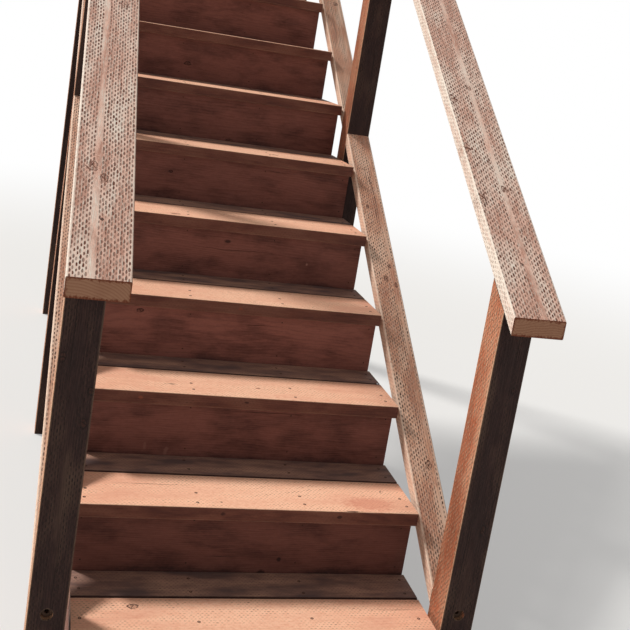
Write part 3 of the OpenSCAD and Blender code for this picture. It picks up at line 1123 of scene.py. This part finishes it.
@dataclass
class Steps:
    """Treads of two boards each and the risers between them, with their screws.

    Attributes:
        count: number of treads.
        tread_span: length in mm over which a tread's knots lie.
        riser_span: length in mm over which a riser's knots lie.
        tread_tones: least and most brightness of a tread.
        riser_tones: least and most brightness of a riser that isn't in TONES.
        rows: places of the screws from a tread's front edge, in mm.
        lean: how far the screws stand off the middle of each stringer, in mm.
        screw_stray: how far a screw strays across and along the flight, in mm.
        nail_stray: how far a riser's nail strays across the flight and up, in mm.
        nail_up: height in mm of the lower nails above the tread, and above the first riser's foot.
        nail_down: mm from a riser's upper edge to its upper nails.
        gap_nail_in: mm from the tread's right end to the nail in its gap.
        gap_nail_up: height in mm of that nail above the tread.
        gap_nail_way: way its head faces.
    """

    count: int = 11
    tread_span: float = 900.0
    riser_span: float = 860.0
    tread_tones: tuple[float, float] = (0.93, 1.04)
    riser_tones: tuple[float, float] = (0.85, 1.25)
    rows: tuple[float, ...] = (33.0, 88.0, 216.0, 272.0)
    lean: dict[str, float] = field(default_factory=lambda: {
        "stringer_left": -4.0, "stringer_inner_left": -9.0,
        "stringer_inner_right": -8.0, "stringer_right": -4.0})
    screw_stray: tuple[float, float] = (5.0, 9.0)
    nail_stray: tuple[float, float] = (6.0, 5.0)
    nail_up: tuple[float, float] = (25.0, 30.0)
    nail_down: float = 20.0
    gap_nail_in: float = 9.0
    gap_nail_up: float = 0.4
    gap_nail_way: tuple[float, float, float] = (0.2, -0.5, 1.0)

    def dress(self) -> None:
        """Gives every tread and riser its finish."""
        luck = random.Random(11)
        for k in range(1, self.count + 1):
            name, seed = f"tread_{k:02d}", TREAD_SEED + k
            knots = scatter_knots(seed, self.tread_span, FRONT_BOARD, 0 if name in MARKS else 1)
            TREAD_WOOD.dress(Board(name, Lay.FLAT, spans(name)[1], PLANK_THICK, seed, FRONT_BOARD, knots,
                                   MARKS.get(name, ()), tone=luck.uniform(*self.tread_tones)))
            name, seed = f"riser_{k:02d}", RISER_SEED + k
            width = spans(name)[2]
            knots = scatter_knots(seed, self.riser_span, width, 0 if name in MARKS else 1)
            tone = TONES.get(name, luck.uniform(*self.riser_tones))
            RISER_WOOD.dress(Board(name, Lay.ON_EDGE, width, RISER_THICK, seed, 0.0, knots,
                                   MARKS.get(name, ()), tone=tone))
            LOG.info("dressed tread and riser %d", k)

    def lines(self) -> list[float]:
        """Finds the lines of screws over the stringers.

        Returns:
            Their places across the flight, in metres.
        """
        found = []
        for name, lean in self.lean.items():
            low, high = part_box(name)
            found.append((low.x + high.x) / 2 + lean * MM)
        return found

    def screws(self, steel: bpy.types.Material) -> None:
        """Adds the screws of the treads and the nails of the risers.

        Args:
            steel: finish of the heads.
        """
        luck = random.Random(5)
        (screw_x, screw_y), (nail_x, nail_z) = self.screw_stray, self.nail_stray
        screws, nails = [], []
        for k in range(1, self.count + 1):
            low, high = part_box(f"tread_{k:02d}")
            for x in self.lines():
                for row in self.rows:
                    spot = Vector((x + luck.uniform(-screw_x, screw_x) * MM,
                                   low.y + (row + luck.uniform(-screw_y, screw_y)) * MM, high.z))
                    screws.append((spot, Vector(UP)))
            low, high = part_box(f"riser_{k:02d}")
            base = low.z + (self.nail_up[1] if k == 1 else self.nail_up[0] + PLANK_THICK) * MM
            for x in self.lines():
                for z in (base, high.z - self.nail_down * MM):
                    spot = Vector((x + luck.uniform(-nail_x, nail_x) * MM, low.y,
                                   z + luck.uniform(-nail_z, nail_z) * MM))
                    nails.append((spot, -Vector(BACKWARD)))
        screw = Fastener("tread_screw", radius=4.2, proud=0.25, drive=1.9)
        screw.spread("tread_screws", screws, steel)
        nail = Fastener("riser_nail", radius=2.2, proud=0.2, drive=0.0)
        nail.spread("riser_nails", nails, steel)

    def gap_nail(self, zinc: bpy.types.Material) -> None:
        """Adds the bright nail left in the gap at the right end of the third tread.

        Args:
            zinc: finish of the nail.
        """
        low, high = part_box("tread_03")
        spot = Vector((high.x - self.gap_nail_in * MM, low.y + (FRONT_BOARD + BOARD_GAP / 2) * MM,
                       high.z + self.gap_nail_up * MM))
        nail = Fastener("gap_nail_head", radius=3.6, proud=0.6, drive=0.0)
        nail.spread("gap_nail", [(spot, Vector(self.gap_nail_way).normalized())], zinc)


@dataclass
class Posts:
    """Six square posts, the bottom pair bored for the bolts of the lower rails.

    Attributes:
        sunny_side_wear_and_light: paling of the bottom left post's sunlit sides, by sun and painted light.
    """

    sunny_side_wear_and_light: float = 0.45

    def bore_height(self) -> float:
        """Height in mm of the bolts, in the middle of the lower rail's front end."""
        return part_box("lower_rail_1_left")[0].z / MM + PLANK_THICK / math.cos(PITCH) / 2

    def dress(self) -> None:
        """Gives every post its finish."""
        for index, place in enumerate(("bottom", "middle", "top")):
            for turn, side in enumerate(("left", "right")):
                name, seed = f"post_{place}_{side}", POST_SEED + 10 * index + turn
                low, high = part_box(name)
                middle = (high.z + low.z) / 2 / MM
                recess = (self.bore_height() - middle, 0.0) if place == "bottom" else None
                knots = scatter_knots(seed, spans(name)[2], POST_SIDE, 3 + index)
                sunny = name == "post_bottom_left"
                finish = replace(POST_WOOD, side_wear_and_light=self.sunny_side_wear_and_light) if sunny else POST_WOOD
                board = Board(name, Lay.UPRIGHT, POST_SIDE, POST_SIDE, seed, knots=knots, recess=recess)
                finish.dress(board)
                LOG.info("dressed %s", name)


@dataclass
class Handrails:
    """Cap rails and lower rails, with the screws that hold the cap rails to the posts.

    Attributes:
        cap_width: width of a cap rail in mm.
        knot_places: mm from the lower end to the knots further up a cap rail.
        knot_stray: how far those knots stray along and across the rail, in mm.
        knot_radii: least and most radius of those knots, in mm.
        luck_seeds: numbers that place those knots, by rail.
        screw_up: mm up the slope from a post's front to its screw.
        screw_aside: mm from the middle of a cap rail to its screws, by side.
    """

    cap_width: float = 140.0
    knot_places: tuple[float, ...] = (1350, 1900, 2500, 3100)
    knot_stray: tuple[float, float] = (90, 60)
    knot_radii: tuple[float, float] = (6, 12)
    luck_seeds: dict[str, int] = field(default_factory=lambda: {"cap_rail_left": 41, "cap_rail_right": 42})
    screw_up: float = 102.0
    screw_aside: tuple[tuple[str, float], ...] = (("left", -2.0), ("right", -4.0))

    def slope_length(self, name: str) -> float:
        """Length of a rail along the slope, in mm."""
        return spans(name)[1] / math.cos(PITCH)

    def own_knots(self, name: str) -> tuple[Knot, ...]:
        """Finds a rail's knots: those that show near its lower end, then some up the slope.

        Args:
            name: name of the rail.

        Returns:
            The knots, in mm from the rail's centre.
        """
        start = -self.slope_length(name) / 2
        shown = tuple(Knot(start + u, v, radius) for u, v, radius in RAIL_KNOTS[name])
        if name.startswith("lower"):
            return shown
        luck = random.Random(self.luck_seeds[name])
        along, across = self.knot_stray
        further = tuple(
            Knot(start + u + luck.uniform(-along, along), luck.uniform(-across, across),
                 luck.uniform(*self.knot_radii))
            for u in self.knot_places)
        return shown + further

    def own_marks(self, name: str) -> tuple[Mark, ...]:
        """Finds the checks and torn spots that one rail has of its own.

        Args:
            name: name of the rail.

        Returns:
            The marks, in mm from the rail's centre.
        """
        start = -self.slope_length(name) / 2
        return tuple(Mark(start + u, v, long, wide, "deep", turn)
                     for u, v, long, wide, turn in RAIL_MARKS.get(name, ()))

    def dress(self) -> None:
        """Gives every rail its finish."""
        for turn, (side, wood) in enumerate((("left", LEFT_CAP_WOOD), ("right", RIGHT_CAP_WOOD))):
            name = f"cap_rail_{side}"
            board = Board(name, Lay.SLOPE_FLAT, self.cap_width, PLANK_THICK, CAP_SEED + turn,
                          knots=self.own_knots(name), marks=self.own_marks(name))
            wood.dress(board)
            for part in (1, 2):
                name, seed = f"lower_rail_{part}_{side}", LOWER_SEED + 10 * part + turn
                knots = self.own_knots(name) if name in RAIL_KNOTS else scatter_knots(
                    seed, self.slope_length(name), POST_SIDE, 4)
                board = Board(name, Lay.SLOPE_FLAT, POST_SIDE, PLANK_THICK, seed, knots=knots,
                              marks=self.own_marks(name))
                LOWER_WOOD.dress(board)
            LOG.info("dressed the %s rails", side)

    def screws(self, steel: bpy.types.Material) -> None:
        """Adds the screws through the cap rails into the posts.

        Args:
            steel: finish of the heads.
        """
        places = []
        for side, aside in self.screw_aside:
            low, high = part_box(f"cap_rail_{side}")
            edge = Vector(((low.x + high.x) / 2, low.y, low.z + PLANK_THICK * MM / math.cos(PITCH)))
            for place in ("bottom", "middle", "top"):
                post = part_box(f"post_{place}_{side}")[0]
                up = (post.y - low.y) / math.cos(PITCH) + self.screw_up * MM
                spot = edge + Vector(UP_SLOPE) * up + Vector((aside * MM, 0, 0))
                places.append((spot, Vector(OFF_SLOPE)))
        screw = Fastener("cap_screw", radius=4.2, proud=0.2, drive=1.9)
        screw.spread("cap_rail_screws", places, steel)


@dataclass
class Framing:
    """Stringers, header and crosspiece below and behind the treads.

    Attributes:
        stringer_depth: depth of the planks that the stringers are cut from, in mm.
        stringer_area: length and width in mm over which a stringer's knots lie.
        cross_span: length in mm over which the knots of the header and the crosspiece lie.
    """

    stringer_depth: float = 286.0
    stringer_area: tuple[float, float] = (3300.0, 200.0)
    cross_span: float = 1000.0

    def dress(self) -> None:
        """Gives the framing its finish."""
        for count, place in enumerate(("left", "inner_left", "inner_right", "right")):
            seed = STRINGER_SEED + count
            board = Board(f"stringer_{place}", Lay.SLOPE_EDGE, self.stringer_depth, PLANK_THICK, seed,
                          knots=scatter_knots(seed, *self.stringer_area, 5))
            FRAMING_WOOD.dress(board)
        for count, name in enumerate(("header", "crosspiece")):
            seed = CROSS_SEED + count
            width = spans(name)[2]
            board = Board(name, Lay.ON_EDGE, width, PLANK_THICK, seed,
                          knots=scatter_knots(seed, self.cross_span, width, 3))
            FRAMING_WOOD.dress(board)
        LOG.info("dressed the framing")


@dataclass
class Studio:
    """Pale floor, soft lamp and even surrounding light.

    Attributes:
        floor_colour: colour of the floor.
        floor_radius: radius of the floor in metres.
        near: radius in metres inside which the floor shows shade, past which it fades to white.
        far: radius in metres where the floor is all white.
        veil: share of white in the floor near the stairs, which lightens the shadow.
        world: strength of the even light.
        lamp: strength of the lamp.
        softness: angle of the lamp in degrees.
        ray: way the lamp's light travels.
    """

    floor_colour: str = "#e0ddd8"
    floor_radius: float = 40.0
    near: float = 2.6
    far: float = 7.0
    veil: float = 0.3
    world: float = 0.35
    lamp: float = 3.2
    softness: float = 9.0
    ray: tuple[float, float, float] = (0.75, -0.65, -1.0)

    def build(self) -> None:
        """Builds the floor, the lamp and the world."""
        only()
        bpy.ops.mesh.primitive_circle_add(vertices=96, radius=self.floor_radius, fill_type="NGON",
                                          location=(0, 0, 0))
        floor = bpy.context.object
        floor.name = "studio_floor"
        floor.data.materials.append(self._floor_paper())

        lamp = bpy.data.objects.new("soft_lamp", bpy.data.lights.new("soft_lamp", "SUN"))
        lamp.data.energy = self.lamp
        lamp.data.angle = math.radians(self.softness)
        lamp.rotation_mode = "QUATERNION"
        lamp.rotation_quaternion = Vector(self.ray).to_track_quat("-Z", "Y")
        bpy.context.scene.collection.objects.link(lamp)

        world = bpy.data.worlds.new("studio_world")
        bpy.context.scene.world = world
        add = fresh_nodes(world)
        strength = add(RANGE, [self._seen(add), 0.0, 1.0, self.world, 1.0])
        light = add(Kind("ShaderNodeBackground"), [(1, 1, 1, 1), strength])
        add(Kind("ShaderNodeOutputWorld", gives=None), [light])
        LOG.info("built the studio")

    def _seen(self, add: Adder) -> Socket:
        """Finds the rays that look at the background, straight or through a gloss.

        Args:
            add: adds a node to the tree.

        Returns:
            Socket, 1 for such a ray.
        """
        path = add(Kind("ShaderNodeLightPath", gives=None))
        seen = add(HIGHER, [path["Is Camera Ray"], path["Is Glossy Ray"]])
        return add(HIGHER, [seen, path["Is Transmission Ray"]])

    def _floor_paper(self) -> bpy.types.Material:
        """Makes the matt pale floor, which fades to white far from the stairs.

        Returns:
            The finished material.
        """
        material = bpy.data.materials.new("studio floor paper")
        add = fresh_nodes(material)
        fade = add(SMOOTH, [add(LENGTH, [add(COORDINATES)]), self.near, self.far, self.veil, 1.0])
        fade = add(TIMES, [fade, self._seen(add)])
        matt = add(Kind("ShaderNodeBsdfDiffuse"), [linear(self.floor_colour)])
        white = add(Kind("ShaderNodeEmission"), [(1, 1, 1, 1), 1.0])
        add(SURFACE, [add(Kind("ShaderNodeMixShader"), [fade, matt, white])])
        return material


@dataclass
class PhotoCamera:
    """Camera that stands where the photograph was taken.

    Attributes:
        place: where the lens is, in metres.
        turn: angle to the right of +Y, in degrees.
        tilt: angle above the horizon, in degrees.
        roll: turn about the line of sight, in degrees.
        lens: focal length in mm.
        sensor: width of the sensor in mm.
        shift: upward shift of the frame, as a share of its side.
        reach: furthest distance that it shows, in metres.
    """

    place: tuple[float, float, float] = (-0.6565, -3.7007, 1.6110)
    turn: float = 15.790
    tilt: float = -9.962
    roll: float = 9.268
    lens: float = 56.32
    sensor: float = 36.0
    shift: float = -0.1476
    reach: float = 200.0

    def build(self) -> None:
        """Builds the camera and makes it the scene's own."""
        turn, tilt, roll = (math.radians(a) for a in (self.turn, self.tilt, self.roll))
        ahead = Vector((math.sin(turn) * math.cos(tilt), math.cos(turn) * math.cos(tilt), math.sin(tilt)))
        level = Vector((math.cos(turn), -math.sin(turn), 0))
        above = level.cross(ahead)
        right = math.cos(roll) * level + math.sin(roll) * above
        up = math.cos(roll) * above - math.sin(roll) * level
        camera = bpy.data.objects.new("photo_camera", bpy.data.cameras.new("photo_camera"))
        bpy.context.scene.collection.objects.link(camera)
        camera.data.sensor_width = self.sensor
        camera.data.lens = self.lens
        camera.data.shift_y = self.shift
        camera.data.clip_end = self.reach
        turned = Matrix((right, up, -ahead)).transposed().to_4x4()
        camera.matrix_world = Matrix.Translation(self.place) @ turned
        bpy.context.scene.camera = camera
        LOG.info("placed the camera")


def main() -> None:
    """Builds and dresses the stairs in order."""
    logging.basicConfig(level=logging.INFO, format="%(message)s")
    bpy.context.scene.view_settings.view_transform = "Standard"
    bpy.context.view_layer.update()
    steel = ScrewSteel().build()

    PhotoCamera().build()
    Studio().build()
    steps = Steps()
    steps.dress()
    steps.screws(steel)
    steps.gap_nail(BrightNail().build())
    Posts().dress()
    rails = Handrails()
    rails.dress()
    rails.screws(steel)
    Framing().dress()


if __name__ == "__main__":
    main()
